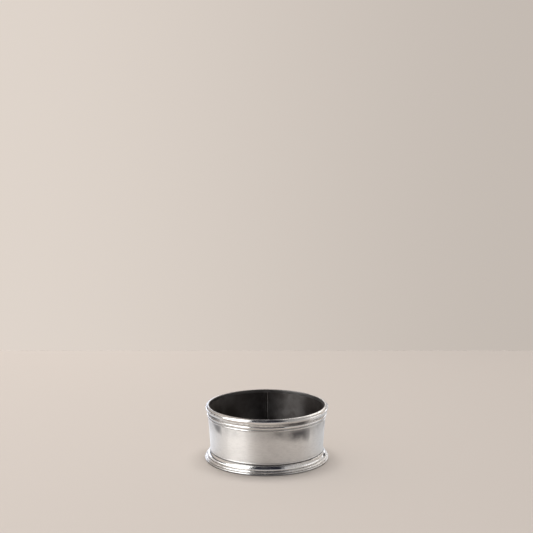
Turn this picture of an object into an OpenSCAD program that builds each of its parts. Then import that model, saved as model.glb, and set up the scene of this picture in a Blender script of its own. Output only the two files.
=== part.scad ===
// Round pewter coaster for a wine bottle. A rolled band leans outward a little towards its top.
// Strips and wires are soldered round it: a lip over its top edge, a collar and a wire under
// the lip, and a wire and a moulded foot at its lower end. A floor plate lies inside the band
// on the foot's ledge, with a felt disc under it.
// Every ring is the outline of its cut, turned round the Z axis. Sizes are in millimetres, +Z
// is up, and the origin is the centre of the underside.

/* [Overall] */
// Diameter across the foot, which is the widest place
foot_d = 100; // [84:0.5:130]
// Height from the table to the top of the lip
total_h = 43.6; // [32:0.2:60]

/* [Band] */
// How far the foot stands out from the lower end of the band
foot_reach = 4.9; // [3.6:0.1:7]
// Thickness of the band
band_t = 1.3; // [0.8:0.1:2]
// How far the band leans outward, in degrees
band_lean = 4; // [0:0.5:8]
// Width of the soldered seam that closes the band
seam_w = 0.6; // [0.3:0.1:1.5]

/* [Lip] */
// Radius of the lip's round outer side
lip_r = 2.3; // [2:0.05:2.7]
// Width of the lip, from its inner face to its outermost line
lip_w = 3; // [2.7:0.1:3.8]
// Height of the lip above the band's top edge
lip_cap = 2.6; // [1.6:0.1:3.2]
// Radius of the lip's inner top edge
lip_edge_r = 0.5; // [0.2:0.05:0.8]

/* [Collar] */
// Height of the groove between the lip and the collar
groove_h = 1.2; // [0.8:0.1:3]
// Radius of the collar's round face
collar_r = 1.2; // [0.9:0.05:2]
// How far the collar stands out from the band
collar_proud = 0.85; // [0.4:0.05:0.85]
// Height of the open line between the collar and the wire under it
hairline_h = 0.7; // [0.3:0.1:2]

/* [Wires] */
// Radius of the round face of both wires
wire_r = 0.6; // [0.5:0.05:1]
// How far both wires stand out from the band
wire_proud = 0.4; // [0.25:0.05:0.45]
// Height of the gap between the foot and the wire above it
foot_gap_h = 0.55; // [0.4:0.05:1.5]

/* [Foot] */
// Thickness of the flange at the very bottom
flange_t = 1.1; // [0.7:0.05:2]
// Radius of the bead above the flange
foot_bead_r = 0.85; // [0.6:0.05:1.1]
// How far the bead's middle line stands in from the foot's edge
foot_bead_in = 1.7; // [1.5:0.05:2]
// How far the bead is sunk into the flange
foot_bead_sink = 0.1; // [0.05:0.05:0.3]
// Height of the small step between the bead and the broad round member
quirk_h = 0.4; // [0.15:0.05:0.8]
// Radius of the broad round member
ovolo_r = 3.7; // [3:0.05:4.5]
// How far the broad round member stands in from the foot's edge
ovolo_in = 2.1; // [1.8:0.05:2.6]
// Thickness of the ledge that carries the band and the floor
ledge_t = 1.2; // [0.8:0.05:2]
// How far the ledge reaches in under the floor
ledge_w = 1.1; // [0.8:0.1:4]

/* [Floor and felt] */
// Thickness of the floor plate
floor_t = 1.6; // [1:0.1:3]
// Radius of the hollow fillet of solder round the floor
fillet_r = 1; // [0.5:0.1:2]
// How far the felt stands below the foot, so that the metal is clear of the table
felt_proud = 0.3; // [0.1:0.05:0.8]
// Gap between the felt's edge and the foot
felt_gap = 0.2; // [0.1:0.05:1]

/* [Solder] */
// Film of solder between two curved faces
solder_gap = 0.05; // [0.02:0.01:0.1]
// How far a run of solder stands out from the band
solder_t = 0.3; // [0.15:0.05:0.35]

/* [Hidden] */

// Thinnest edge that the hollow fillet of solder runs out to, and the depth of its rebate
fillet_edge = 0.15;
// Overrun of every cut past what it cuts
over = 1;
// Facets of a turned ring and of a round in its outline
turn_fn = 180;
round_fn = 96;

pewter = "#b9b5ae";
bright_pewter = "#cfccc6";
solder_grey = "#8f8c86";
felt_brown = "#4a3a30";

// Half the height at which a round face of radius r, standing out by proud, meets the band
function half_seat(r, proud) = sqrt(r * r - (r - proud) * (r - proud));

// The band, from its foot on the ledge to its top edge under the lip, and its level thickness
foot_r = foot_d / 2;
band_foot_z = felt_proud + ledge_t;
band_foot_r = foot_r - foot_reach;
band_top_z = total_h - lip_cap;
function band_out(z) = band_foot_r + (z - band_foot_z) * tan(band_lean);
band_wall = band_t / cos(band_lean);
far_r = max(foot_r, band_out(total_h) + lip_w) + over;

// The lip, round outside and flat inside
lip_z = total_h - lip_r;
lip_face_r = band_out(band_top_z) - band_wall;
lip_mid_r = lip_face_r + lip_w - lip_r;
lip_edge_mid_r = lip_face_r + lip_edge_r;
lip_edge_rise = sqrt((lip_r - lip_edge_r) * (lip_r - lip_edge_r)
                     - (lip_mid_r - lip_edge_mid_r) * (lip_mid_r - lip_edge_mid_r));
lip_edge_z = lip_z + lip_edge_rise;

// The lip's underside where it meets the band, and the collar and the wire stacked below it
lip_seat_out = band_out(lip_z - lip_r) - lip_mid_r;
lip_seat_z = lip_z - sqrt(lip_r * lip_r - lip_seat_out * lip_seat_out);
collar_half = half_seat(collar_r, collar_proud);
wire_half = half_seat(wire_r, wire_proud);
collar_z = lip_seat_z - groove_h - collar_half;
collar_wire_z = collar_z - collar_half - hairline_h - wire_half;

// The foot: flange, bead and broad round member, one above the other
flange_z = felt_proud + flange_t / 2;
foot_bead_z = felt_proud + flange_t + foot_bead_r - foot_bead_sink;
foot_bead_mid_r = foot_r - foot_bead_in;
ovolo_z = foot_bead_z + foot_bead_r + quirk_h;
ovolo_out_r = foot_r - ovolo_in;
ovolo_mid_r = ovolo_out_r - ovolo_r;
quirk_r = ovolo_out_r - quirk_h;
foot_seat_in = max(0, band_out(ovolo_z + ovolo_r) + solder_gap - ovolo_mid_r);
foot_top_z = ovolo_z + sqrt(ovolo_r * ovolo_r - foot_seat_in * foot_seat_in);
foot_wire_z = foot_top_z + foot_gap_h + wire_half;

// The floor inside the band, and the felt inside the foot
bore_r = band_foot_r - band_wall - solder_gap;
ledge_r = band_foot_r - band_wall - ledge_w;
floor_top_z = band_foot_z + floor_t;
fillet_w = fillet_r + fillet_edge;
fillet_in_r = bore_r - fillet_w;

// Turns an outline, drawn as radius and height, round the Z axis
module turned() {
    rotate_extrude($fn = turn_fn) children();
}

// A round of radius r with its middle at radius mid_r and height z
module spot(r, mid_r, z) {
    translate([mid_r, z]) circle(r = r, $fn = round_fn);
}

// All that lies further out than the band's outer face by gap or more
module beyond_band(gap) {
    out = gap / cos(band_lean);
    polygon([[band_out(0) + out, 0], [far_r, 0], [far_r, total_h],
             [band_out(total_h) + out, total_h]]);
}

// All that lies between two heights
module between(low_z, high_z) {
    translate([0, low_z]) square([far_r, high_z - low_z]);
}

// A strip or wire with a round face, soldered to the band's outer face
module half_round(r, proud, z) {
    intersection() {
        spot(r, band_out(z) + proud - r, z);
        beyond_band(solder_gap);
    }
}

// A thin run of solder on the band between two heights, clear of the pieces given as children
module solder_run(low_z, high_z) {
    difference() {
        intersection() {
            beyond_band(solder_gap);
            between(low_z, high_z);
        }
        beyond_band(solder_t);
        children();
    }
}

module band_hoop() {
    turned() difference() {
        intersection() {
            beyond_band(-band_t);
            between(band_foot_z, band_top_z);
        }
        beyond_band(0);
    }
}

module seam_slot() {
    translate([-seam_w / 2, 0, 0]) cube([seam_w, foot_d, total_h]);
}

module wall_band() {
    color(pewter) difference() {
        band_hoop();
        seam_slot();
    }
}

module band_seam() {
    color(solder_grey) intersection() {
        band_hoop();
        seam_slot();
    }
}

// The lip sits on the band's top edge and laps down outside it
module lip_ring() {
    color(bright_pewter) turned() union() {
        difference() {
            intersection() {
                spot(lip_r, lip_mid_r, lip_z);
                union() {
                    beyond_band(solder_gap);
                    between(band_top_z, total_h + over);
                }
            }
            square([lip_face_r, total_h + over]);
            translate([0, lip_edge_z]) square([lip_edge_mid_r, lip_r]);
        }
        spot(lip_edge_r, lip_edge_mid_r, lip_edge_z);
    }
}

module lip_solder() {
    color(solder_grey) turned() solder_run(collar_z, lip_z) {
        spot(lip_r + solder_gap, lip_mid_r, lip_z);
        spot(collar_r + solder_gap, band_out(collar_z) + collar_proud - collar_r, collar_z);
    }
}

module collar_ring() {
    color(bright_pewter) turned() half_round(collar_r, collar_proud, collar_z);
}

module collar_wire() {
    color(bright_pewter) turned() half_round(wire_r, wire_proud, collar_wire_z);
}

module foot_wire() {
    color(bright_pewter) turned() half_round(wire_r, wire_proud, foot_wire_z);
}

module foot_solder() {
    color(solder_grey) turned() solder_run(ovolo_z, foot_wire_z) {
        spot(ovolo_r + solder_gap, ovolo_mid_r, ovolo_z);
        spot(wire_r + solder_gap, band_out(foot_wire_z) + wire_proud - wire_r, foot_wire_z);
    }
}

// The foot's outline before the band's seat is cut: flange, bead, step and round member
module foot_outline() {
    translate([ledge_r, felt_proud]) square([foot_r - flange_t / 2 - ledge_r, flange_t]);
    spot(flange_t / 2, foot_r - flange_t / 2, flange_z);
    translate([ledge_r, felt_proud]) square([foot_bead_mid_r - ledge_r, foot_bead_z - felt_proud]);
    spot(foot_bead_r, foot_bead_mid_r, foot_bead_z);
    translate([ledge_r, felt_proud]) square([quirk_r - ledge_r, ovolo_z - felt_proud]);
    intersection() {
        spot(ovolo_r, ovolo_mid_r, ovolo_z);
        between(ovolo_z, ovolo_z + ovolo_r + over);
    }
}

module foot_ring() {
    color(bright_pewter) turned() intersection() {
        foot_outline();
        union() {
            beyond_band(solder_gap);
            between(0, band_foot_z);
        }
    }
}

// The floor has a shallow rebate round its top edge, which takes the thin edge of the solder
module floor_plate() {
    color(pewter) turned() difference() {
        translate([0, band_foot_z]) square([bore_r, floor_t]);
        translate([fillet_in_r - solder_gap, floor_top_z - fillet_edge]) square(fillet_w + over);
    }
}

module floor_solder() {
    color(solder_grey) turned() difference() {
        translate([fillet_in_r, floor_top_z - fillet_edge]) square(fillet_w);
        spot(fillet_r, fillet_in_r, floor_top_z + fillet_r);
    }
}

module base_felt() {
    color(felt_brown) cylinder(h = band_foot_z, r = ledge_r - felt_gap, $fn = turn_fn);
}

wall_band();
band_seam();
lip_ring();
lip_solder();
collar_ring();
collar_wire();
foot_wire();
foot_solder();
foot_ring();
floor_plate();
floor_solder();
base_felt();
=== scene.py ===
import random
from math import acos, asin, atan2, cos, degrees, pi, radians, remainder, sin, sqrt, tan

import bmesh
import bpy
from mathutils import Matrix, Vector


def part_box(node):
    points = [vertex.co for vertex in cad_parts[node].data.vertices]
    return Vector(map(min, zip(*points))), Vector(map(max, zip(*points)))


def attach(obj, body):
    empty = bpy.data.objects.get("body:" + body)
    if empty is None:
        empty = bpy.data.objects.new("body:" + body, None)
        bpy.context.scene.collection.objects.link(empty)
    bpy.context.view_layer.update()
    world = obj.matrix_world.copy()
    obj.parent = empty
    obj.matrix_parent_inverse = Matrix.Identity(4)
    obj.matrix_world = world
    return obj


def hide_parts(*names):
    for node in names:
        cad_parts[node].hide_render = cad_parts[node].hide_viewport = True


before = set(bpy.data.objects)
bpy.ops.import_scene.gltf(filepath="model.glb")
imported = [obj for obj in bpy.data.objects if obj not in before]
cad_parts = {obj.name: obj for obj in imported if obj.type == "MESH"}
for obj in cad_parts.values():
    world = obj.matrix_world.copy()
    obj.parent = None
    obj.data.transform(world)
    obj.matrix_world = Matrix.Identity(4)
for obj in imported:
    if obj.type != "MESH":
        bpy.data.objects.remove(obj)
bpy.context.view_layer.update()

mm = 0.001
print("frame loaded:", len(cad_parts), "nodes")


def addObject(name, data):
    made = bpy.data.objects.new(name, data)
    bpy.context.collection.objects.link(made)
    return made


# Small helpers for node trees
def feed(tree, socket, value):
    if isinstance(value, bpy.types.NodeSocket):
        tree.links.new(value, socket)
    else:
        socket.default_value = value


def feedAll(tree, sockets, values):
    for key, value in values.items():
        feed(tree, sockets[key], value)


def put(tree, kind, values=None, **settings):
    made = tree.nodes.new(kind)
    for name, value in settings.items():
        setattr(made, name, value)
    feedAll(tree, made.inputs, values or {})
    return made


def calc(tree, operation, *values, clamp=False):
    made = put(tree, "ShaderNodeMath", dict(enumerate(values)), operation=operation, use_clamp=clamp)
    return made.outputs[0]


def times(tree, first, *others, clamp=False):
    for other in others:
        first = calc(tree, "MULTIPLY", first, other, clamp=clamp)
    return first


def timesPlus(tree, value, factor, added, clamp=False):
    return calc(tree, "MULTIPLY_ADD", value, factor, added, clamp=clamp)


def minus(tree, value, taken, clamp=False):
    return calc(tree, "SUBTRACT", value, taken, clamp=clamp)


def most(tree, first, second):
    return calc(tree, "MAXIMUM", first, second)


def ramp(tree, value, low, high, outLow=0.0, outHigh=1.0):
    made = put(tree, "ShaderNodeMapRange",
               {"Value": value, "From Min": low, "From Max": high, "To Min": outLow, "To Max": outHigh},
               interpolation_type="SMOOTHSTEP")
    return made.outputs["Result"]


def vector(tree, x, y, z=0.0):
    return put(tree, "ShaderNodeCombineXYZ", {"X": x, "Y": y, "Z": z}).outputs[0]


def partsOf(tree, value):
    return list(put(tree, "ShaderNodeSeparateXYZ", {"Vector": value}).outputs)


def lengthOf(tree, value):
    return put(tree, "ShaderNodeVectorMath", {0: value}, operation="LENGTH").outputs["Value"]


def noise(tree, spot, scale, detail, rough=0.5, seed=None, distortion=0.0):
    values = {"Scale": scale, "Detail": detail, "Roughness": rough, "Distortion": distortion}
    if spot is not None:
        values["Vector"] = spot
    if seed is not None:
        values["W"] = seed
    made = put(tree, "ShaderNodeTexNoise", values, noise_dimensions="3D" if seed is None else "4D")
    return made.outputs["Fac"]


def mix(tree, share, first, second):
    made = put(tree, "ShaderNodeMix", {"Factor": share}, data_type="RGBA")
    for key, value in ((6, first), (7, second)):  # the sockets for colours
        feed(tree, made.inputs[key], value if isinstance(value, bpy.types.NodeSocket) else (*value, 1))
    return made.outputs[2]


def openGroup(name, inputs, outputs, kind="ShaderNodeTree"):
    # Each input has a start value or, like an output, the name of its type
    group = bpy.data.node_groups.new(name, kind)
    keys = {}
    for label, value in inputs.items():
        typed = isinstance(value, str)
        socketType = value if typed else "Int" if isinstance(value, int) else "Float"
        made = group.interface.new_socket(label, in_out="INPUT", socket_type="NodeSocket" + socketType)
        if not typed:
            made.default_value = value
        keys[label] = made.identifier
    for label, socketType in outputs.items():
        group.interface.new_socket(label, in_out="OUTPUT", socket_type="NodeSocket" + socketType)
    return group, put(group, "NodeGroupInput").outputs, put(group, "NodeGroupOutput").inputs, keys


# Sizes that the pieces share, in millimetres; aroundR is the radius at which the way round is counted
sizes = {
    "bandFootR": 45.1, "bandFootZ": 1.5, "bandTopZ": 41.0, "bandLean": radians(4), "bandT": 1.3,
    "lipR": 2.3, "lipMidR": 47.26, "lipZ": 41.3, "lipEdgeR": 0.5, "lipFaceR": 46.56,
    "filmGap": 0.05, "seamW": 0.6, "allZ": 43.6, "aroundR": 46.0,
}
bandFoot, bandTop, film = sizes["bandFootZ"], sizes["bandTopZ"], sizes["filmGap"]
bandWall = sizes["bandT"] / cos(sizes["bandLean"])


def bandOut(z):
    return sizes["bandFootR"] + (z - bandFoot) * tan(sizes["bandLean"])


def between(first, last, share):
    return first + (last - first) * share


def shares(steps):
    return [i / steps for i in range(steps + 1)]


def pick(draw, limits):
    return between(*limits, draw.random())


def arc(midR, midZ, r, first, last, steps):
    turns = [radians(between(first, last, share)) for share in shares(steps)]
    return [(midR + r * cos(t), midZ + r * sin(t)) for t in turns]


def line(first, last, steps):
    return [tuple(between(a, b, share) for a, b in zip(first, last)) for share in shares(steps)]


camera = {"place": (-0.0002, -0.775, 0.249), "tilt": 83.095, "lens": 66.4, "sensor": 36}
camData = bpy.data.cameras.new("camera")
camData.lens = camera["lens"]
camData.sensor_width = camera["sensor"]
camObject = addObject("camera", camData)
camObject.location = camera["place"]
camObject.rotation_euler = (radians(camera["tilt"]), 0, 0)
bpy.context.scene.camera = camObject


def makeRoundCoords():
    # The way round, the radius, the height and how far a point stands out of the band, in mm, and the turn
    floats = dict.fromkeys(("Around", "Radius", "Height", "Proud", "Turn"), "Float")
    group, _, results, _ = openGroup("roundCoords", {}, {**floats, "Spot": "Vector"})
    place = put(group, "ShaderNodeTexCoord").outputs["Object"]
    x, y, z = partsOf(group, place)
    # the turn is 0 at the front and meets itself at the back, where the seam is
    turned = calc(group, "ARCTAN2", x, times(group, y, -1.0))
    radius = times(group, lengthOf(group, vector(group, x, y)), 1 / mm)
    height = times(group, z, 1 / mm)
    face = timesPlus(group, minus(group, height, bandFoot), tan(sizes["bandLean"]), sizes["bandFootR"])
    spot = put(group, "ShaderNodeVectorMath", {0: place, 1: (1 / mm,) * 3}, operation="MULTIPLY").outputs[0]
    feedAll(group, results, {
        "Around": times(group, turned, sizes["aroundR"]), "Radius": radius, "Height": height,
        "Proud": minus(group, radius, face), "Turn": turned, "Spot": spot})
    return group


def makeBrushing():
    # Fine marks of a wire wheel or cloth that run round the piece, a little broken and crossed
    group, given, results, _ = openGroup(
        "brushing", {"Around": 0.0, "Across": 0.0, "Lines per mm": 6.0, "Length": 12.0, "Seed": 0.0},
        {"Fine": "Float", "Broad": "Float"})
    for label, share, detail in (("Fine", 1.0, 3.0), ("Broad", 0.16, 2.0)):
        across = times(group, given["Across"], times(group, given["Lines per mm"], share))
        spot = vector(group, calc(group, "DIVIDE", given["Around"], given["Length"]), across)
        feed(group, results[label], noise(group, spot, 1.0, detail, 0.6, given["Seed"]))
    return group


def makePatina():
    # Clouds of tarnish at two sizes, as a mask from 0 to 1
    group, given, results, _ = openGroup(
        "patina", {"Spot": "Vector", "Cloud size": 14.0, "Speck size": 1.6, "Seed": 0.0},
        {"Clouds": "Float", "Specks": "Float"})
    for label, key, low, high in (("Clouds", "Cloud size", 0.38, 0.68),
                                  ("Specks", "Speck size", 0.55, 0.75)):
        scale = calc(group, "DIVIDE", 1.0, given[key])
        shade = noise(group, given["Spot"], scale, 4.0, 0.58, given["Seed"])
        feed(group, results[label], ramp(group, shade, low, high))
    return group


def makeGrooveGrimeAndShade():
    # Dark residue that polishing leaves close to the band, where a strip meets it, together with painted
    # shade in that crease
    group, given, results, _ = openGroup(
        "grooveGrimeAndShade", {"Proud": 0.0, "Spot": "Vector", "Reach": 0.5, "Seed": 0.0}, {"GrimeAndShade": "Float"})
    uneven = noise(group, given["Spot"], 0.45, 3.0, seed=given["Seed"])
    reach = times(group, given["Reach"], ramp(group, uneven, 0.3, 0.7, 0.35, 1.5))
    near = minus(group, 1.0, calc(group, "DIVIDE", given["Proud"], reach), clamp=True)
    # the crest, which lies over the band, stays clean
    near = times(group, near, ramp(group, given["Proud"], -0.3, -0.05))
    feed(group, results["GrimeAndShade"], calc(group, "POWER", near, 0.8, clamp=True))
    return group


def makeDarkPatch():
    # A dark patch by its place round the piece, mostly a painted dark reflection and some tarnish: it fades
    # in at one end and stops sharply at the other
    group, given, results, _ = openGroup(
        "darkPatch", {"Turn": 0.0, "Spot": "Vector", "First": 0.0, "Last": 1.0, "Seed": 0.0},
        {"Patch": "Float", "Share": "Float", "Unevenness": "Float"})
    uneven = minus(group, noise(group, given["Spot"], 0.12, 3.0, seed=given["Seed"]), 0.5)
    share = calc(group, "DIVIDE", minus(group, given["Turn"], given["First"]),
                 minus(group, given["Last"], given["First"]))
    begins = ramp(group, timesPlus(group, uneven, 0.9, share), 0.0, 0.6)
    ends = ramp(group, timesPlus(group, uneven, 0.06, share), 1.0, 0.92)
    ends = times(group, ends, ramp(group, share, 0.74, 0.94, 1.0, 0.58))
    feedAll(group, results, {"Patch": times(group, begins, ends), "Share": share, "Unevenness": uneven})
    return group


roundCoords = makeRoundCoords()
brushing = makeBrushing()
patina = makePatina()
grooveGrimeAndShade = makeGrooveGrimeAndShade()
darkPatch = makeDarkPatch()


def useGroup(tree, group, values=None):
    return put(tree, "ShaderNodeGroup", values, node_tree=group).outputs


def brushed(tree, around, across, lines, length, seed):
    return useGroup(tree, brushing, {"Around": around, "Across": across, "Lines per mm": lines,
                                     "Length": length, "Seed": seed})


def clouded(tree, place, cloudSize, speckSize, seed):
    return useGroup(tree, patina, {"Spot": place["Spot"], "Cloud size": cloudSize, "Speck size": speckSize,
                                   "Seed": seed})


def newMaterial(name):
    made = bpy.data.materials.new(name)
    made.use_nodes = True
    tree = made.node_tree
    return made, tree, tree.nodes["Principled BSDF"].inputs


def newFinish(name):
    made, tree, shader = newMaterial(name)
    return made, tree, shader, useGroup(tree, roundCoords)


def bump(tree, height, strength, distance, normal=None):
    # distance: in millimetres
    values = {"Height": height, "Strength": strength, "Distance": distance * mm}
    if normal is not None:
        values["Normal"] = normal
    return put(tree, "ShaderNodeBump", values).outputs["Normal"]


# Dark patches: painted dark reflections where the metal mirrors something dark, and a few patches of tarnish
# towards the back
def addTarnishAndDarkReflections(tree, place, colour, tarnishAndDarkReflections, tint, slope):
    # Each: first and last turn in degrees, lowest and highest point in mm, strength, seed, softness in mm
    covered = 0.0
    for first, last, low, high, strength, seed, soft in tarnishAndDarkReflections:
        shade, along, uneven = useGroup(tree, darkPatch, {
            "Turn": place["Turn"], "Spot": place["Spot"], "Seed": seed, "First": radians(first),
            "Last": radians(last)})
        # the lower side is ragged, and rises towards the end where the patch fades in
        lower = timesPlus(tree, minus(tree, 1.0, along), slope, low)
        lower = timesPlus(tree, uneven, 0.9 * soft, lower)
        inside = times(tree, ramp(tree, place["Height"], lower, calc(tree, "ADD", lower, soft)),
                       ramp(tree, place["Height"], high, high - 0.6 * soft, 0.3, 1.0))
        share = times(tree, shade, inside, strength)
        colour = mix(tree, share, colour, tint)
        covered = most(tree, covered, share)
    return colour, covered


# Brush: lines per mm, length in mm, seed. Clouds: size of clouds and of specks in mm, seed.
# Waves, pits, grain, fibres and tufts: the scale, detail and roughness of a noise

# Satin band: brushed round, so highlights spread up and down. Tarnish clouds and painted shade darken it
# between two heights
satin = {
    "base": (0.74, 0.727, 0.710), "worn": (0.81, 0.799, 0.783), "dull": (0.46, 0.452, 0.445),
    "tarnishAndReflection": (0.045, 0.043, 0.052), "inside": (0.072, 0.064, 0.060), "insideSeam": (0.033, 0.030, 0.028),
    "rough": 0.42, "insideRough": 0.5, "anisotropy": 0.72, "slope": 8.0, "insideFrom": (-0.5, -0.9),
    "underCollar": (24.0, 33.5), "overFoot": (12.0, 8.3), "edgeHigh": (32.6, 33.9), "edgeLow": (8.9, 8.3),
    "upperHalf": (23.0, 32.5), "brush": (2.6, 5.0, 2.0), "clouds": (13.0, 1.3, 5.0),
    "lines": (0.48, 0.70, 0.0, 0.36), "specks": 0.16, "waves": (0.22, 2.0),
    # painted dark reflections at the front and sides, tarnish towards the back
    "tarnishAndDarkReflections": [(0, 46.4, 19.0, 35.5, 0.81, 3.0, 8.0), (-70, -47.6, 24.0, 35.0, 0.52, 8.0, 4.0),
               (92, 123, 24.0, 35.0, 0.4, 13.0, 9.0), (-172, -137, 21.5, 35.0, 0.5, 18.0, 9.0)],
}


def makeSatinPewter():
    made, tree, shader, place = newFinish("satinPewter")
    fine, broad = brushed(tree, place["Around"], place["Height"], *satin["brush"])
    clouds, specks = clouded(tree, place, *satin["clouds"])

    def mask(key):
        return ramp(tree, place["Height"], *satin[key])

    # tarnish clouds are stronger under the collar's wire and just above the foot's, where they add painted
    # shade
    shadeNearWires = most(tree, mask("underCollar"), times(tree, mask("overFoot"), 0.5))
    dull = times(tree, clouds, timesPlus(tree, shadeNearWires, 0.5, 0.14))
    # painted shade: bands along the wires' edges, and the upper half of the band made darker
    dull = most(tree, dull, times(tree, most(tree, mask("edgeHigh"), mask("edgeLow")), 0.5))
    dull = timesPlus(tree, mask("upperHalf"), 0.28, dull, clamp=True)
    colour = mix(tree, broad, satin["base"], satin["worn"])
    lines = ramp(tree, fine, *satin["lines"])
    for share in (dull, lines, times(tree, specks, satin["specks"])):
        colour = mix(tree, share, colour, satin["dull"])
    colour, _ = addTarnishAndDarkReflections(tree, place, colour, satin["tarnishAndDarkReflections"], satin["tarnishAndReflection"], satin["slope"])
    # painted shade: the inner face is made very dark, as if a bottle stood in it, over a dull inner finish
    inside = ramp(tree, place["Proud"], *satin["insideFrom"])
    insideShade = timesPlus(tree, clouds, -0.11, 1.0)
    colour = mix(tree, times(tree, inside, insideShade), colour, satin["inside"])
    rough = timesPlus(tree, fine, 0.10, satin["rough"] - 0.05)
    rough = timesPlus(tree, dull, 0.10, rough)
    rough = timesPlus(tree, inside, satin["insideRough"] - satin["rough"], rough, clamp=True)
    normal = bump(tree, noise(tree, place["Spot"], *satin["waves"]), 0.7, 0.2)
    tangent = put(tree, "ShaderNodeTangent", direction_type="RADIAL", axis="Z").outputs[0]
    feedAll(tree, shader, {
        "Base Color": colour, "Metallic": 1.0, "Roughness": rough, "Anisotropic": satin["anisotropy"],
        "Anisotropic Rotation": 0.25, "Tangent": tangent,
        "Normal": bump(tree, fine, 0.6, 0.035, normal)})
    return made


# Polished mouldings: brighter, with residue and painted shade in the grooves. Right and left are turns at
# which that side begins and ends, well before the back, where the turn meets itself
polish = {
    "base": (0.715, 0.703, 0.688), "worn": (0.775, 0.765, 0.750), "film": (0.50, 0.49, 0.478),
    "speck": (0.30, 0.292, 0.288), "cast": (0.89, 0.878, 0.86), "grimeAndShade": (0.050, 0.048, 0.053),
    "rough": 0.125, "slope": 0.3, "insideFrom": (-1.1, -1.3), "brush": (7.0, 6.0), "clouds": (6.0, 0.9),
    "ticks": (1.5, 4.0), "waves": (0.55, 2.0), "pits": (1.3, 3.0, 0.6), "haze": 0.20, "specks": 0.16,
    "right": ((0.31, 0.5), (2.8, 2.2)), "left": ((-0.75, -1.1, 0.0, 0.5), (-2.8, -2.2)),
    # painted dark reflections at the front and sides, tarnish towards the back
    "tarnishAndDarkReflections": [(7, 44, 37.2, 40.4, 0.85, 4.0, 0.6), (-166, -139, 37.4, 40.0, 0.7, 9.0, 0.6),
               (80, 104, 37.4, 40.0, 0.5, 14.0, 0.6), (70, 88, 38.3, 40.2, 0.95, 5.0, 0.5),
               (-96, -48, 36.9, 39.9, 0.85, 6.0, 0.6)],
    # the collar's patch and the foot's patch are painted dark reflections
    "collarDarkReflection": [(-92, -48.5, 34.2, 35.6, 0.8, 8.0, 0.4)],
    "footDarkReflection": [(-32, 17.5, 6.2, 7.7, 0.9, 27.0, 0.3)],
    # a small pit, painted as the dark shade in it
    "pitShade": {"turn": 75.5, "z": 5.0, "wide": 3.1, "tall": 1.1, "ragged": 1.1, "edge": (1.75, 1.3)},
}


def sideMask(tree, place, side):
    begins, ends = (ramp(tree, place["Turn"], *limits) for limits in polish[side])
    return times(tree, begins, ends)


def pitShadeMask(tree, place, pitShade):
    # Painted shade of a small pit: a dark spot with a ragged edge
    aside = minus(tree, place["Around"], radians(pitShade["turn"]) * sizes["aroundR"])
    above = minus(tree, place["Height"], pitShade["z"])
    spot = vector(tree, calc(tree, "DIVIDE", aside, pitShade["wide"]), calc(tree, "DIVIDE", above, pitShade["tall"]))
    ragged = noise(tree, place["Spot"], 0.8, 3.0)
    return ramp(tree, timesPlus(tree, ragged, pitShade["ragged"], lengthOf(tree, spot)), *pitShade["edge"])


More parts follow.
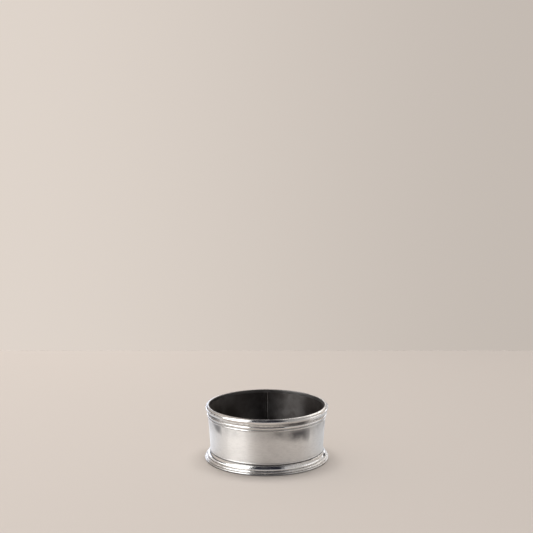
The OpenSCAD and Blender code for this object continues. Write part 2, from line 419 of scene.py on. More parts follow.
def makePolishedPewter(name, reach, grimeAndShadeShare, seed, tarnishAndDarkReflections=(), dark=(), chatter=0.0, mottle=0.0, pitShade=None,
                       softness=0.0):
    # dark: heights of grooves, with painted shade in them, as (middle, half width, strength) in mm; chatter:
    # marks across a wide round; mottle: how deep the skin of the casting is pitted at the right, where it is
    # least polished
    made, tree, shader, place = newFinish(name)
    fine, broad = brushed(tree, place["Around"], place["Height"], *polish["brush"], seed)
    clouds, specks = clouded(tree, place, *polish["clouds"], seed)
    grimeAndShade = useGroup(tree, grooveGrimeAndShade, {"Proud": place["Proud"], "Spot": place["Spot"], "Reach": reach,
                                         "Seed": seed})["GrimeAndShade"]
    grimeAndShade = times(tree, grimeAndShade, grimeAndShadeShare, clamp=True)
    # painted shade in the grooves, and at the heel a painted reflection of the shade on the table
    for middle, half, strength in dark:
        off = calc(tree, "ABSOLUTE", minus(tree, place["Height"], middle))
        grimeAndShade = most(tree, grimeAndShade, ramp(tree, off, half, half * 0.3, 0.0, strength))
    haze = times(tree, clouds, polish["haze"])
    colour = mix(tree, broad, polish["base"], polish["worn"])
    colour = mix(tree, haze, colour, polish["film"])
    rightSide = sideMask(tree, place, "right") if mottle or chatter else 0.0
    if mottle:
        castSkin = times(tree, rightSide, timesPlus(tree, clouds, 0.4, 0.6))
        colour = mix(tree, times(tree, castSkin, 0.6), colour, polish["cast"])
    colour = mix(tree, times(tree, specks, polish["specks"]), colour, polish["speck"])
    colour, covered = addTarnishAndDarkReflections(tree, place, colour, tarnishAndDarkReflections, polish["grimeAndShade"], polish["slope"])
    # painted shade of a pit at the right end of the foot
    if pitShade:
        pitShadeSpot = pitShadeMask(tree, place, pitShade)
        colour = mix(tree, pitShadeSpot, colour, polish["grimeAndShade"])
        covered = most(tree, covered, pitShadeSpot)
    # the dark colour here is residue and painted shade near the strips
    colour = mix(tree, grimeAndShade, colour, polish["grimeAndShade"])
    # painted shade: the lip's inner face is made as dark as the band's inside
    inside = times(tree, ramp(tree, place["Proud"], *polish["insideFrom"]), 0.85)
    colour = mix(tree, inside, colour, satin["inside"])
    rough = timesPlus(tree, fine, 0.08, polish["rough"] - 0.04 + softness)
    for share, factor in ((haze, 0.5), (inside, 0.25), (covered, 0.45)):
        rough = timesPlus(tree, share, factor, rough)
    rough = timesPlus(tree, grimeAndShade, 0.35, rough, clamp=True)
    normal = bump(tree, noise(tree, place["Spot"], *polish["waves"]), 0.5, 0.09)
    if chatter:
        ticks, _ = brushed(tree, place["Height"], place["Around"], *polish["ticks"], seed + 2.0)
        # the marks are clearest at the right of the front, and faint in places at the left
        where = most(tree, rightSide, times(tree, clouds, sideMask(tree, place, "left")))
        normal = bump(tree, times(tree, ticks, where), 1.0, chatter, normal)
    if mottle:
        pits = noise(tree, place["Spot"], *polish["pits"])
        normal = bump(tree, times(tree, pits, castSkin), 1.0, mottle, normal)
        rough = timesPlus(tree, castSkin, 0.12, rough)
    feedAll(tree, shader, {
        "Base Color": colour, "Metallic": timesPlus(tree, grimeAndShade, -0.35, 1.0), "Roughness": rough,
        "Normal": bump(tree, fine, 0.3, 0.01, normal)})
    return made


# Each solder: its bright and dark colours, and how much of it is dark
solderLook = {
    "clouds": (2.2, 0.7, 11.0), "speck": (0.05, 0.048, 0.05), "grain": (2.4, 5.0, 0.65),
    "lip": ((0.66, 0.647, 0.629), (0.22, 0.215, 0.21), 0.5),
    "dull": ((0.30, 0.29, 0.285), (0.07, 0.068, 0.07), 1.0),
    "foot": ((0.15, 0.146, 0.143), (0.045, 0.044, 0.046), 0.8),
    "seam": ((0.52, 0.51, 0.498), (0.34, 0.333, 0.33), 0.6),
}


def makeSolder(name, bright, dark, darkShare, tarnishAndDarkReflections=()):
    made, tree, shader, place = newFinish(name)
    clouds, specks = clouded(tree, place, *solderLook["clouds"])
    colour = mix(tree, times(tree, clouds, darkShare), bright, dark)
    colour = mix(tree, times(tree, specks, darkShare), colour, solderLook["speck"])
    colour, _ = addTarnishAndDarkReflections(tree, place, colour, tarnishAndDarkReflections, polish["grimeAndShade"], polish["slope"])
    # painted shade: the seam's inner face is made as dark as the band's inside
    inside = ramp(tree, place["Proud"], *satin["insideFrom"])
    rough = timesPlus(tree, clouds, 0.2, 0.3)
    feedAll(tree, shader, {
        "Base Color": mix(tree, inside, colour, satin["insideSeam"]), "Metallic": 0.95,
        "Roughness": timesPlus(tree, inside, 0.2, rough, clamp=True),
        "Normal": bump(tree, noise(tree, place["Spot"], *solderLook["grain"]), 0.6, 0.04)})
    return made


# The floor: turning marks, with scuffs and a ring of wear
worn = {
    "base": (0.27, 0.258, 0.248), "bright": (0.36, 0.346, 0.333), "dull": (0.12, 0.112, 0.106),
    "speck": (0.08, 0.075, 0.072), "nearWall": (36.0, 42.4), "ringR": 34.6, "ringHalf": (1.3, 0.2),
    "brush": (4.0, 30.0, 21.0), "clouds": (17.0, 1.8, 23.0),
}


def makeTurnedPewter():
    made, tree, shader, place = newFinish("turnedPewter")
    fine, broad = brushed(tree, place["Around"], place["Radius"], *worn["brush"])
    clouds, specks = clouded(tree, place, *worn["clouds"])
    nearWall = ramp(tree, place["Radius"], *worn["nearWall"])
    ringed = calc(tree, "ABSOLUTE", minus(tree, place["Radius"], worn["ringR"]))
    ringed = times(tree, ramp(tree, ringed, *worn["ringHalf"]), clouds)
    dull = most(tree, times(tree, nearWall, 0.6), times(tree, clouds, 0.4))
    dull = calc(tree, "MAXIMUM", dull, times(tree, ringed, 0.7), clamp=True)
    colour = mix(tree, broad, worn["base"], worn["bright"])
    colour = mix(tree, dull, colour, worn["dull"])
    colour = mix(tree, times(tree, specks, 0.3), colour, worn["speck"])
    rough = timesPlus(tree, fine, 0.12, 0.26)
    normal = bump(tree, broad, 0.5, 0.05)
    feedAll(tree, shader, {
        "Base Color": colour, "Metallic": 1.0, "Roughness": timesPlus(tree, dull, 0.2, rough, clamp=True),
        "Normal": bump(tree, fine, 0.4, 0.02, normal)})
    return made


baize = {"dark": (0.045, 0.026, 0.019), "light": (0.115, 0.072, 0.052), "rough": 0.95, "sheen": 0.3,
         "fibres": (3.2, 6.0, 0.7), "twist": 1.5, "tufts": (0.35, 3.0)}


def makeFelt():
    made, tree, shader, place = newFinish("brownFelt")
    fibres = noise(tree, place["Spot"], *baize["fibres"], distortion=baize["twist"])
    tufts = noise(tree, place["Spot"], *baize["tufts"])
    shade = timesPlus(tree, fibres, 0.7, times(tree, tufts, 0.3))
    feedAll(tree, shader, {
        "Base Color": mix(tree, ramp(tree, shade, 0.3, 0.7), baize["dark"], baize["light"]),
        "Roughness": baize["rough"], "Sheen Weight": baize["sheen"], "Sheen Roughness": 0.5,
        "Normal": bump(tree, fibres, 1.0, 0.25)})
    return made


satinPewter = makeSatinPewter()
lipPewter = makePolishedPewter(
    "lipPewter", reach=0.35, grimeAndShadeShare=0.6, seed=31.0, tarnishAndDarkReflections=polish["tarnishAndDarkReflections"], mottle=0.03)
stripPewter = makePolishedPewter(
    "stripPewter", reach=0.22, grimeAndShadeShare=0.65, seed=37.0, tarnishAndDarkReflections=polish["collarDarkReflection"])
wirePewter = makePolishedPewter("wirePewter", reach=0.09, grimeAndShadeShare=0.5, seed=39.0, softness=0.2)
footPewter = makePolishedPewter(
    "footPewter", reach=0.6, grimeAndShadeShare=0.95, seed=43.0, tarnishAndDarkReflections=polish["footDarkReflection"],
    dark=[(3.2, 0.25, 0.25), (1.45, 0.2, 0.15), (0.45, 0.7, 0.62)], chatter=0.04, mottle=0.05,
    pitShade=polish["pitShade"])
lipSolderFinish = makeSolder("lipSolder", *solderLook["lip"], tarnishAndDarkReflections=polish["tarnishAndDarkReflections"])
dullSolder = makeSolder("dullSolder", *solderLook["dull"])
footSolderFinish = makeSolder("footSolder", *solderLook["foot"])
seamSolder = makeSolder("seamSolder", *solderLook["seam"])
turnedPewter = makeTurnedPewter()
brownFelt = makeFelt()
print("materials made")


def makeTurning():
    # Turns an outline, drawn in X and Z, round the Z axis, with the small unevenness of hand work
    group, given, results, keys = openGroup(
        "turning",
        {"Outline": "Geometry", "Segments": 360, "First Turn": 0.0, "Sweep": 2 * pi, "Waves": 0.0,
         "Wave Scale": 20.0, "Dents": 0.0, "Dent Scale": 150.0, "Seed": 0.0, "Crease": radians(35),
         "Finish": "Material"},
        {"Ring": "Geometry"}, "GeometryNodeTree")
    outline = given["Outline"]
    count = put(group, "GeometryNodeAttributeDomainSize", {"Geometry": outline}).outputs["Point Count"]
    rows = calc(group, "ADD", count, 1.0)
    columns = calc(group, "ADD", given["Segments"], 1.0)
    grid = put(group, "GeometryNodeMeshGrid", {"Vertices X": columns, "Vertices Y": rows}).outputs["Mesh"]
    index = put(group, "GeometryNodeInputIndex").outputs[0]
    # the small addition keeps a whole number from being rounded down
    column = calc(group, "FLOOR", calc(group, "DIVIDE", calc(group, "ADD", index, 0.01), rows))
    row = minus(group, index, times(group, column, rows))
    row = calc(group, "FLOORED_MODULO", calc(group, "ROUND", row), count)
    place = put(group, "GeometryNodeInputPosition").outputs[0]
    drawn = put(group, "GeometryNodeSampleIndex", {"Geometry": outline, "Value": place, "Index": row},
                data_type="FLOAT_VECTOR", domain="POINT").outputs[0]
    drawnR, _, drawnZ = partsOf(group, drawn)
    turned = timesPlus(group, calc(group, "DIVIDE", column, given["Segments"]), given["Sweep"],
                       given["First Turn"])
    cosine, sine = calc(group, "COSINE", turned), calc(group, "SINE", turned)

    def at(radius, height):
        return vector(group, times(group, radius, cosine), times(group, radius, sine), height)

    def uneven(scale, size, seed, flat):
        shade = noise(group, at(drawnR, 0.0 if flat else drawnZ), scale, 1.0, seed=seed)
        return times(group, minus(group, shade, 0.5), times(group, size, 2.0))

    # slow waves are the same for all the rings and grow with the height, and dents belong to each
    slow = uneven(given["Wave Scale"], given["Waves"], 1.0, True)
    rise = uneven(given["Wave Scale"], given["Waves"], 9.0, True)
    dents = uneven(given["Dent Scale"], given["Dents"], given["Seed"], False)
    share = calc(group, "DIVIDE", drawnZ, sizes["allZ"] * mm)
    radius = calc(group, "ADD", drawnR, calc(group, "ADD", dents, times(group, slow, share)))
    height = calc(group, "ADD", drawnZ, times(group, rise, share, 0.6))
    steep = put(group, "GeometryNodeInputMeshEdgeAngle").outputs["Unsigned Angle"]
    sharp = put(group, "FunctionNodeCompare", {"A": steep, "B": given["Crease"]},
                data_type="FLOAT", operation="GREATER_THAN").outputs[0]
    ring = grid
    for kind, values, settings in (
            ("SetPosition", {"Position": at(radius, height)}, {}),
            ("MergeByDistance", {"Distance": 0.002 * mm}, {}),
            ("SetShadeSmooth", {"Shade Smooth": True}, {"domain": "FACE"}),
            ("SetShadeSmooth", {"Selection": sharp, "Shade Smooth": False}, {"domain": "EDGE"}),
            ("RealizeInstances", {}, {}),
            ("SetMaterial", {"Material": given["Finish"]}, {})):
        ring = put(group, "GeometryNode" + kind, {"Geometry": ring, **values}, **settings).outputs[0]
    feed(group, results["Ring"], ring)
    return group, keys


turning, turningKeys = makeTurning()


def runTree(name, baseMesh, tree, keys, values):
    # Evaluates a tree on a mesh and keeps the result as a plain mesh
    holder = addObject(name + "Base", baseMesh)
    modifier = holder.modifiers.new("tree", "NODES")
    modifier.node_group = tree
    for label, value in values.items():
        modifier[keys[label]] = value
    shot = holder.evaluated_get(bpy.context.evaluated_depsgraph_get())
    made = bpy.data.meshes.new_from_object(shot)
    made.name = name
    bpy.data.objects.remove(holder)
    bpy.data.meshes.remove(baseMesh)
    return addObject(name, made)


def faceOut(piece, capHoles=False):
    work = bmesh.new()
    work.from_mesh(piece.data)
    if capHoles:
        bmesh.ops.holes_fill(work, edges=[e for e in work.edges if e.is_boundary], sides=0)
    bmesh.ops.recalc_face_normals(work, faces=work.faces)
    work.to_mesh(piece.data)
    work.free()
    return piece


# How uneven the hand work is, in millimetres and waves per metre
hand = {"waves": 0.22, "waveScale": 14.0}


def turn(name, outline, finish, plan, capHoles=False, **more):
    drawn = bpy.data.meshes.new(name + "Outline")
    drawn.from_pydata([(r * mm, 0, z * mm) for r, z in outline],
                      [(i, (i + 1) % len(outline)) for i in range(len(outline))], [])
    values = {"Segments": plan.get("segments", 360), "Waves": plan.get("waves", hand["waves"]) * mm,
              "Wave Scale": hand["waveScale"], "Dents": plan.get("dents", 0.0) * mm,
              "Dent Scale": plan.get("dentScale", 150.0), "Seed": plan.get("seed", 0.0), "Finish": finish}
    piece = faceOut(runTree(name, drawn, turning, turningKeys, {**values, **more}), capHoles)
    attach(piece, "root")
    return piece


band = {"rows": 26, "dents": 0.045, "dentScale": 75.0, "seed": 3.0}
outline = line((bandOut(bandFoot), bandFoot), (bandOut(bandTop), bandTop), band["rows"])
outline += [(r - bandWall, z) for r, z in reversed(outline)]
seam = {"midZ": 20, "proud": 0.02, "swell": (0.6, 1.4), "rows": 60, "across": 8, "draws": 4}
seamHalf = sizes["seamW"] / 2 / bandOut(seam["midZ"])
wallBand = turn("wallBand", outline, satinPewter, band, capHoles=True,
                **{"First Turn": pi / 2 + seamHalf, "Sweep": 2 * (pi - seamHalf)})
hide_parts("wall_band")


def makeSeam():
    # A strip of solder that fills the band's slot and stands a hair proud of the outer face
    work = bmesh.new()
    rings = []
    draw = random.Random(seam["draws"])
    half = sizes["seamW"] / 2
    sides = [between(-1, 1, share) for share in shares(seam["across"])]
    for share in shares(seam["rows"]):
        z = between(bandFoot, bandTop, share)
        outer, inner = bandOut(z), bandOut(z) - bandWall
        swell = seam["proud"] * pick(draw, seam["swell"])
        ring = [(half * u, sqrt(outer ** 2 - (half * u) ** 2) + swell * (1 - u * u)) for u in sides]
        ring += [(-half * u, sqrt(inner ** 2 - (half * u) ** 2)) for u in sides]
        rings.append([work.verts.new((x * mm, y * mm, z * mm)) for x, y in ring])
    count = len(rings[0])
    for low, high in zip(rings, rings[1:]):
        for k in range(count):
            work.faces.new((low[k], low[(k + 1) % count], high[(k + 1) % count], high[k]))
    work.faces.new(rings[0])
    work.faces.new(list(reversed(rings[-1])))
    bmesh.ops.recalc_face_normals(work, faces=work.faces)
    made = bpy.data.meshes.new("bandSeam")
    work.to_mesh(made)
    work.free()
    for face in made.polygons:
        face.use_smooth = True
    made.materials.append(seamSolder)
    return addObject("bandSeam", made)


bandSeam = makeSeam()
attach(bandSeam, "root")
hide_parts("band_seam")

lip = {"steps": 44, "edgeSteps": 8, "dents": 0.035, "dentScale": 120.0, "seed": 6.0}
lipR, lipMidR, lipZ = sizes["lipR"], sizes["lipMidR"], sizes["lipZ"]
edgeR = sizes["lipFaceR"] + sizes["lipEdgeR"]
edgeZ = lipZ + sqrt((lipR - sizes["lipEdgeR"]) ** 2 - (lipMidR - edgeR) ** 2)
meetTurn = degrees(atan2(edgeZ - lipZ, edgeR - lipMidR))
seatR = bandOut(lipZ - lipR)
seatZ = lipZ - sqrt(lipR ** 2 - (seatR - lipMidR) ** 2)
seatTurn = degrees(atan2(seatZ - lipZ, seatR - lipMidR))
outline = arc(lipMidR, lipZ, lipR, seatTurn, meetTurn, lip["steps"])
outline += arc(edgeR, edgeZ, sizes["lipEdgeR"], meetTurn, 180, lip["edgeSteps"])[1:]
outline += [(sizes["lipFaceR"], bandTop), (bandOut(bandTop) + film, bandTop)]
lipRing = turn("lipRing", outline, lipPewter, lip)
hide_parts("lip_ring")


def halfRound(r, proud, z, steps):
    # A strip's round face against the leaning band
    half = degrees(acos((r - proud) / r))
    return arc(bandOut(z) + proud - r, z, r, -half, half, steps)


wire = {"r": 0.6, "proud": 0.4, "steps": 12, "dents": 0.02, "segments": 320, "dentScale": 160.0}
strips = {
    "collarRing": {**wire, "node": "collar_ring", "finish": stripPewter, "r": 1.2, "proud": 0.85, "steps": 18,
                   "dents": 0.03, "seed": 12.0},
    "collarWire": {**wire, "node": "collar_wire", "finish": stripPewter, "seed": 13.0},
    "footWire": {**wire, "node": "foot_wire", "finish": wirePewter, "seed": 14.0},
}
for name, strip in strips.items():
    low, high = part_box(strip["node"])
    strip["z"] = (low.z + high.z) / 2 / mm
    outline = halfRound(strip["r"], strip["proud"], strip["z"], strip["steps"])
    piece = turn(name, outline, strip["finish"], strip)
    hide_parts(strip["node"])

foot = {"r": 50.0, "base": 0.3, "flangeT": 1.1, "beadR": 0.85, "beadIn": 1.7, "beadSink": 0.1, "beadEnd": 145,
        "quirk": 0.4, "quirkDrop": 0.02, "quirkIn": 0.12, "roundR": 3.7, "roundIn": 2.1, "roundFrom": 3,
        "innerZ": 4, "ledgeR": 42.7, "edgeR": 0.65, "heelR": 0.45, "dents": 0.035, "dentScale": 110.0,
        "seed": 17.0, "underSteps": 6, "heelSteps": 5, "edgeSteps": 12, "beadSteps": 20, "roundSteps": 28}
foot["flangeTop"] = foot["base"] + foot["flangeT"]
foot["beadZ"] = foot["flangeTop"] + foot["beadR"] - foot["beadSink"]
foot["roundZ"] = foot["beadZ"] + foot["beadR"] + foot["quirk"]
foot["roundMid"] = foot["r"] - foot["roundIn"] - foot["roundR"]


def footOutline():
    edge, heel, midR, midZ = foot["edgeR"], foot["heelR"], foot["roundMid"], foot["roundZ"]
    points = line((foot["ledgeR"], foot["base"]), (foot["r"] - heel, foot["base"]), foot["underSteps"])[:-1]
    points += arc(foot["r"] - heel, foot["base"] + heel, heel, -90, 0, foot["heelSteps"])
    points += arc(foot["r"] - edge, foot["flangeTop"] - edge, edge, 0, 90, foot["edgeSteps"])
    beadMid = foot["r"] - foot["beadIn"]
    sink = degrees(asin((foot["beadR"] - foot["beadSink"]) / foot["beadR"]))
    points += arc(beadMid, foot["beadZ"], foot["beadR"], -sink, foot["beadEnd"], foot["beadSteps"])
    stepR = beadMid + foot["beadR"] * cos(radians(foot["beadEnd"]))
    points += [(stepR, midZ - foot["quirkDrop"]), (midR + foot["roundR"] - foot["quirkIn"], midZ)]
    seat = bandOut(midZ + foot["roundR"]) + film - midR
    top = degrees(acos(seat / foot["roundR"]))
    points += arc(midR, midZ, foot["roundR"], foot["roundFrom"], top, foot["roundSteps"])
    points += [(bandOut(z) + film, z) for z in (foot["innerZ"], bandFoot)]
    return points + [(foot["ledgeR"], bandFoot)]


footRing = turn("footRing", footOutline(), footPewter, foot)
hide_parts("foot_ring")

plate = {"r": 43.74, "low": 1.5, "top": 3.1, "rebateR": 42.55, "rebate": 0.15, "rings": 22, "dish": 0.05,
         "dishR": 40.0, "segments": 256, "waves": 0.0}
outline = line((0.0, plate["top"]), (plate["rebateR"], plate["top"]), plate["rings"])
outline = [(r, z - plate["dish"] * sin(pi * min(1.0, r / plate["dishR"]))) for r, z in outline]
rebateZ = plate["top"] - plate["rebate"]
outline += [(plate["rebateR"], rebateZ), (plate["r"], rebateZ)]
outline += [(plate["r"], plate["low"]), (0.0, plate["low"])]
floorPlate = turn("floorPlate", outline, turnedPewter, plate)
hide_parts("floor_plate")

fillet = {"r": 1.0, "edge": 0.15, "steps": 12, "dents": 0.09, "dentScale": 420.0, "seed": 26.0, "waves": 0.0}
cornerZ, filletZ = plate["top"] - fillet["edge"], plate["top"] + fillet["r"]
inR = plate["r"] - fillet["r"] - fillet["edge"]
outline = [(inR, cornerZ)] + arc(inR, filletZ, fillet["r"], -90, 0, fillet["steps"])
outline += [(plate["r"], filletZ), (plate["r"], cornerZ)]
floorSolder = turn("floorSolder", outline, dullSolder, fillet)
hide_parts("floor_solder")

felt = {"r": 42.5, "top": 1.5, "round": 0.25, "innerR": 8.0, "rings": 16, "edgeFrom": -80, "edgeSteps": 4,
        "segments": 192, "waves": 0.0}
roundMid = felt["r"] - felt["round"]
outline = [(0.0, 0.0)] + line((felt["innerR"], 0.0), (roundMid, 0.0), felt["rings"])
outline += arc(roundMid, felt["round"], felt["round"], felt["edgeFrom"], 0, felt["edgeSteps"])
outline += [(felt["r"], felt["top"]), (0.0, felt["top"])]
baseFelt = turn("baseFelt", outline, brownFelt, felt)
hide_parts("base_felt")
print("turned pieces made")


# A run of solder is a thin uneven ring with lumps on it
lumpLook = {"wide": 0.7, "grain": (1400.0, 2.0), "rough": 0.22}


def makeLumps():
    # Sets a small lump on each point, by the point's own size and turn
    group, given, results, keys = openGroup(
        "solderLumps",
        {"Points": "Geometry", "Lump Length": 1.0, "Lump Height": 1.0, "Finish": "Material"},
        {"Lumps": "Geometry"}, "GeometryNodeTree")
    ball = put(group, "GeometryNodeMeshIcoSphere", {"Radius": 1.0, "Subdivisions": 3}).outputs["Mesh"]
    shape = vector(group, lumpLook["wide"], given["Lump Length"], given["Lump Height"])
    ball = put(group, "GeometryNodeTransform", {"Geometry": ball, "Scale": shape}).outputs[0]

    def own(name, kind):
        return put(group, "GeometryNodeInputNamedAttribute", {"Name": name},
                   data_type=kind).outputs["Attribute"]

    lumps = put(group, "GeometryNodeInstanceOnPoints",
                {"Points": given["Points"], "Instance": ball, "Rotation": own("turned", "FLOAT_VECTOR"),
                 "Scale": own("lumpSize", "FLOAT")}).outputs[0]
    rough = times(group, minus(group, noise(group, None, *lumpLook["grain"]), 0.5), lumpLook["rough"] * mm)
    push = put(group, "ShaderNodeVectorMath",
               {0: put(group, "GeometryNodeInputNormal").outputs[0], "Scale": rough},
               operation="SCALE").outputs[0]
    for kind, values in (("RealizeInstances", {}), ("SetPosition", {"Offset": push}),
                         ("SetShadeSmooth", {"Shade Smooth": True}),
                         ("SetMaterial", {"Material": given["Finish"]})):
        lumps = put(group, "GeometryNode" + kind, {"Geometry": lumps, **values}).outputs[0]
    feed(group, results["Lumps"], lumps)
    return group, keys


lumpTree, lumpKeys = makeLumps()


def addLumps(piece, name, spots, finish, length, height):
    # spots: (turn from the front, radius, height, size, roll), in millimetres and radians
    drawn = bpy.data.meshes.new(name + "Spots")
    drawn.from_pydata([(r * mm * sin(t), -r * mm * cos(t), z * mm) for t, r, z, *_ in spots], [], [])
    drawn.attributes.new("turned", "FLOAT_VECTOR", "POINT")
    drawn.attributes.new("lumpSize", "FLOAT", "POINT")
    for i, (t, _, _, size, roll) in enumerate(spots):
        drawn.attributes["turned"].data[i].vector = (roll, 0, t - pi / 2)
        drawn.attributes["lumpSize"].data[i].value = size * mm
    lumps = runTree(name, drawn, lumpTree, lumpKeys,
                    {"Lump Length": length, "Lump Height": height, "Finish": finish})
    work = bmesh.new()
    work.from_mesh(piece.data)
    work.from_mesh(lumps.data)
    work.to_mesh(piece.data)
    work.free()
    bpy.data.objects.remove(lumps)


def solderBand(lowZ, highZ, lowThick, highThick, bulge, steps=10):
    # The outline of a run on the band between two heights
    points = [(bandOut(z) + film, z) for z in (highZ, lowZ)]
    for u in shares(steps):
        z = between(lowZ, highZ, u)
        points.append((bandOut(z) + between(lowThick, highThick, u) + bulge * sin(pi * u), z))
    return points


# Clusters: middle and spread in degrees, and how many lumps. Pairs are limits of random draws
lipRun = {"under": 0.15, "over": 0.25, "thick": 0.16, "bulge": 0.1, "segments": 420, "dents": 0.07,
          "dentScale": 300.0, "seed": 33.0, "clusters": [(-26, 5, 9), (52, 5, 9), (118, 8, 6), (-150, 7, 6)],
          "where": (0.25, 0.85), "out": (0.18, 0.30), "size": (0.22, 0.48), "roll": 0.5,
          "loose": 7, "looseWhere": (0.2, 0.8), "looseOut": 0.14, "looseSize": (0.16, 0.32),
          "draws": 7, "long": 1.25, "tall": 0.85}
collar = strips["collarRing"]
collarTop = collar["z"] + sqrt(collar["r"] ** 2 - (collar["r"] - collar["proud"]) ** 2)
low, high = collarTop - lipRun["under"], seatZ + lipRun["over"]
outline = solderBand(low, high, lipRun["thick"], lipRun["thick"], lipRun["bulge"])
lipSolder = turn("lipSolder", outline, lipSolderFinish, lipRun)
draw = random.Random(lipRun["draws"])
spots = []
for middle, spread, count in lipRun["clusters"]:
    for _ in range(count):
        z = between(low, high, pick(draw, lipRun["where"]))
        spots.append((radians(draw.gauss(middle, spread)), bandOut(z) + pick(draw, lipRun["out"]), z,
                      pick(draw, lipRun["size"]), draw.uniform(-lipRun["roll"], lipRun["roll"])))
for _ in range(lipRun["loose"]):
    z = between(low, high, pick(draw, lipRun["looseWhere"]))
    spots.append((draw.uniform(-pi, pi), bandOut(z) + lipRun["looseOut"], z,
                  pick(draw, lipRun["looseSize"]), 0.0))
addLumps(lipSolder, "lipLumps", spots, lipSolderFinish, lipRun["long"], lipRun["tall"])
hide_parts("lip_solder")

# Arcs: first and last turn in degrees, where the run has lumps
footRun = {"under": 0.2, "over": 0.4, "midZ": 7, "lowThick": 0.34, "highThick": 0.16, "bulge": -0.05,
           "segments": 420, "dents": 0.07, "dentScale": 420.0, "seed": 35.0, "step": 2.6,
           "steps": (0.55, 1.45), "where": (0.45, 0.65), "out": (0.16, 0.26), "size": (0.30, 0.52),
           "roll": (0.7, 1.0), "draws": 19,
           "arcs": [(12, 62), (128, 160), (-112, -84)], "long": 1.5, "tall": 0.8}
runR = bandOut(footRun["midZ"])
footSeatZ = foot["roundZ"] + sqrt(foot["roundR"] ** 2 - (runR - foot["roundMid"]) ** 2)
low, high = footSeatZ - footRun["under"], strips["footWire"]["z"] - footRun["over"]
outline = solderBand(low, high, footRun["lowThick"], footRun["highThick"], footRun["bulge"])
footSolder = turn("footSolder", outline, footSolderFinish, footRun)
draw = random.Random(footRun["draws"])
spots = []
around = 0.0
while around < 2 * pi * runR - footRun["step"] / 2:
    z = between(low, high, pick(draw, footRun["where"]))
    side = degrees(remainder(around / runR, 2 * pi))
    lump = (around / runR, bandOut(z) + pick(draw, footRun["out"]), z, pick(draw, footRun["size"]),
            pick(draw, footRun["roll"]))
    if any(first < side < last for first, last in footRun["arcs"]):
        spots.append(lump)
    around += footRun["step"] * pick(draw, footRun["steps"])
addLumps(footSolder, "footLumps", spots, dullSolder, footRun["long"], footRun["tall"])
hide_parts("foot_solder")
print("solder made")

# Turns are in degrees from the front, and lengths in metres
studio = {
    "table": (0.606, 0.552, 0.508), "wall": (0.632, 0.567, 0.512), "wallY": 0.417, "falloff": 0.37,
    "tableShade": (1.06, 0.905), "wallShade": (1.17, 0.87), "tableHalf": 4, "wallTop": 3, "far": (0.6, 1.4),
    "around": (0.66, 0.66, 0.675), "ceiling": (0.05, 0.05, 0.06), "fill": (0.57, 0.57, 0.575),
    "panels": {
        "leftLow": dict(turn=-69, away=1.1, size=(1.46, 0.5), low=0.0, light=2.8, colour=(1, 1, 0.99)),
        "leftHigh": dict(turn=-60, away=1.1, size=(1.0, 3.2), low=0.5, light=2.7, colour=(1, 1, 0.99)),
        "leftWing": dict(turn=-141, away=0.45, size=(0.24, 0.08), low=0.0, light=3.0,
                         colour=(0.88, 0.95, 1.12)),
        "leftEdge": dict(turn=-163, away=0.41, size=(0.10, 0.2), low=0.0, light=1.0, colour=(0.8, 0.95, 1.2)),
        "rightLow": dict(turn=104, away=1.0, size=(1.15, 0.2), low=0.0, light=1.2, colour=(0.97, 0.99, 1.03)),
        "rightWing": dict(turn=143, away=0.45, size=(0.2, 0.08), low=0.0, light=1.8,
                          colour=(0.92, 0.97, 1.07)),
        "rightCrest": dict(turn=153, away=0.41, size=(0.25, 0.6), low=0.25, light=2.2,
                           colour=(1, 0.99, 0.97)),
        "rightEdge": dict(turn=167, away=0.41, size=(0.05, 0.16), low=0.06, light=0.8, colour=(1, 1, 1)),
    },
    "top": {"place": (0.066, 0.594, 2.83), "size": (2.0, 1.1), "power": 49.0, "target": (0, 0, 0.03)},
    "arch": {"away": 1.15, "half": 0.74, "taper": 0.75, "narrow": 0.3, "first": 11, "last": 111, "steps": 20},
    "cards": {
        "leftCard": dict(away=(0.40, 0.40), turns=(-82, -154), low=(0.035, 0.062), high=(0.17, 0.14),
                         colour=(0.10, 0.10, 0.115)),
        "rightCard": dict(away=(0.95, 0.95), turns=(42, 128), low=(0.21, 0.21), high=(1.3, 1.3),
                          colour=(0.53, 0.505, 0.485)),
        "rightCool": dict(away=(0.41, 0.41), turns=(150, 176), low=(0, 0), high=(0.10, 0.10),
                          colour=(0.48, 0.53, 0.60)),
        "leftMat": dict(away=(0.056, 0.17), turns=(-58, -160), low=(0.0005, 0.0005), high=(0.0005, 0.0005),
                        colour=(0.99, 1.0, 1.04)),
        "rightMat": dict(away=(0.056, 0.17), turns=(58, 160), low=(0.0005, 0.0005), high=(0.0005, 0.0005),
                         colour=(0.65, 0.665, 0.69)),
    },
    # rows: height and half the width
    "backCard": {"away": 0.405,
                 "rows": [(0.12, 0.035), (0.35, 0.045), (0.65, 0.10), (0.95, 0.17), (1.15, 0.2)]},
    "darkCloth": (0.02, 0.02, 0.03), "matFade": (-0.04, 0.02), "ceilingFrom": (0.80, 0.97),
}


def stageSheet(name, points, finish, faces=((0, 1, 2, 3),)):
    made = bpy.data.meshes.new(name)
    made.from_pydata(points, [], faces)
    made.materials.append(finish)
    piece = addObject(name, made)
    return piece


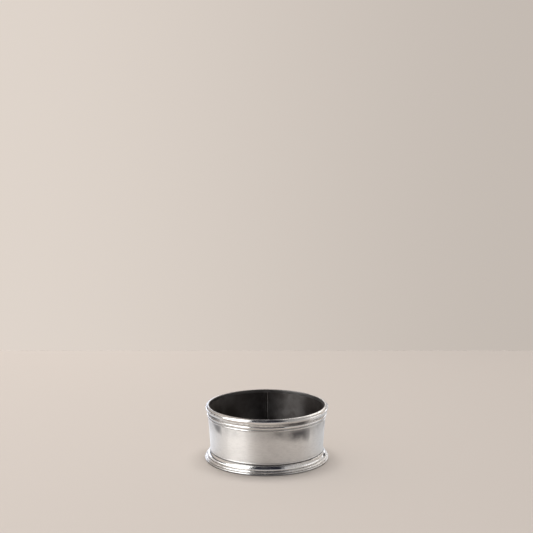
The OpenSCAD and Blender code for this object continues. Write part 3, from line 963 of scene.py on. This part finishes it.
def makePaper(name, colour, shade, glows):
    # Pale paper with painted light, lighter on the left and darker on the right; the backdrop glows and the
    # table is lit
    made, tree, shader = newMaterial(name)
    place = put(tree, "ShaderNodeTexCoord").outputs["Object"]
    # painted light: the colour falls off from left to right, as the light does
    across = ramp(tree, partsOf(tree, place)[0], -studio["falloff"], studio["falloff"])
    first, last = ([c * s for c in colour] for s in shade)
    values = {"Base Color": (0, 0, 0, 1), "Emission Color": mix(tree, across, first, last)}
    if not glows:
        # far away the camera sees the table as pale as the backdrop, so no horizon shows
        seen = put(tree, "ShaderNodeLightPath").outputs["Is Camera Ray"]
        far = times(tree, ramp(tree, lengthOf(tree, place), *studio["far"]), seen)
        values = {"Base Color": mix(tree, far, values["Emission Color"], (0, 0, 0)),
                  "Emission Color": mix(tree, far, (0, 0, 0), studio["wall"])}
        made.cycles.emission_sampling = "NONE"  # it is no lamp
    feedAll(tree, shader, {"Specular IOR Level": 0.0, "Emission Strength": 1.0, **values})
    return made


half, wallY, wallTop = studio["tableHalf"], studio["wallY"], studio["wallTop"]
stageSheet("table", [(-half, -half, 0), (half, -half, 0), (half, half, 0), (-half, half, 0)],
           makePaper("tablePaper", studio["table"], studio["tableShade"], False))
backdrop = stageSheet(
    "backdrop", [(-half, wallY, 0), (half, wallY, 0), (half, wallY, wallTop), (-half, wallY, wallTop)],
    makePaper("wallPaper", studio["wall"], studio["wallShade"], True))
backdrop.visible_shadow = False  # the lamp stands behind it


def mirrorSheet(name, points, colour):
    # A glowing sheet, two points a row, which only reflections see: a painted reflection, and no lamp
    finish, tree, shader = newMaterial(name + "Cloth")
    if name.endswith("Mat"):
        # the glowing mat on the table starts in the table's own colour and fades towards the back
        back = partsOf(tree, put(tree, "ShaderNodeTexCoord").outputs["Object"])[1]
        glow = mix(tree, ramp(tree, back, *studio["matFade"]), studio["table"], colour)
    else:
        glow = (*colour, 1)
    feedAll(tree, shader, {"Base Color": (0, 0, 0, 1), "Specular IOR Level": 0.0, "Emission Color": glow,
                           "Emission Strength": 1.0})
    piece = stageSheet(name, points, finish, [(i, i + 1, i + 3, i + 2) for i in range(0, len(points) - 2, 2)])
    piece.visible_camera = piece.visible_diffuse = piece.visible_shadow = False


# painted reflections: a dark arch over the camera, glowing cards round the object, glowing mats on the table
# and a dark card at the back
plan = studio["arch"]
points = []
for share in shares(plan["steps"]):
    rise = radians(between(plan["first"], plan["last"], share))
    half = plan["half"] * max(cos(plan["taper"] * rise), plan["narrow"])
    points += [(side, -plan["away"] * cos(rise), plan["away"] * sin(rise)) for side in (-half, half)]
mirrorSheet("darkArch", points, studio["darkCloth"])
cardSteps = 12
for name, plan in studio["cards"].items():
    points = []
    for share in shares(cardSteps):
        turned = radians(between(*plan["turns"], share))
        for away, edge in zip(plan["away"], (plan["low"], plan["high"])):
            points.append((away * sin(turned), -away * cos(turned), between(*edge, share)))
    mirrorSheet(name, points, plan["colour"])
plan = studio["backCard"]
mirrorSheet("backCard", [(side, plan["away"], z) for z, half in plan["rows"] for side in (-half, half)],
            studio["darkCloth"])


def softLight(name, size, power, colour, place, target):
    lamp = bpy.data.lights.new(name, "AREA")
    lamp.shape = "RECTANGLE"
    lamp.size, lamp.size_y = size
    lamp.energy = power
    lamp.color = colour
    made = addObject(name, lamp)
    made.location = place
    made.rotation_euler = (Vector(target) - made.location).to_track_quat("-Z", "Y").to_euler()
    made.visible_camera = False
    return made


# tall panels stand round the metal for it to mirror, and the lamp behind makes the shadow
for name, plan in studio["panels"].items():
    turned, (wide, tall) = radians(plan["turn"]), plan["size"]
    midZ = plan["low"] + tall / 2
    place = (plan["away"] * sin(turned), -plan["away"] * cos(turned), midZ)
    power = pi * wide * tall * plan["light"]
    panel = softLight(name, plan["size"], power, plan["colour"], place, (0, 0, midZ))
    panel.visible_diffuse = False
top = studio["top"]
topLight = softLight("topSoftbox", top["size"], top["power"], (1, 1, 1), top["place"], top["target"])
topLight.visible_glossy = False

world = bpy.data.worlds.new("studio")
bpy.context.scene.world = world
world.use_nodes = True
tree = world.node_tree
seen = put(tree, "ShaderNodeLightPath").outputs
up = partsOf(tree, put(tree, "ShaderNodeTexCoord").outputs["Generated"])[2]
overhead = ramp(tree, up, *studio["ceilingFrom"])
mirrored = mix(tree, overhead, studio["around"], studio["ceiling"])
colour = mix(tree, seen["Is Glossy Ray"], studio["fill"], mirrored)
colour = mix(tree, seen["Is Camera Ray"], colour, studio["wall"])
feedAll(tree, tree.nodes["Background"].inputs, {"Color": colour, "Strength": 1.0})
bpy.context.scene.view_settings.view_transform = "Standard"
print("studio made")

bpy.context.view_layer.update()
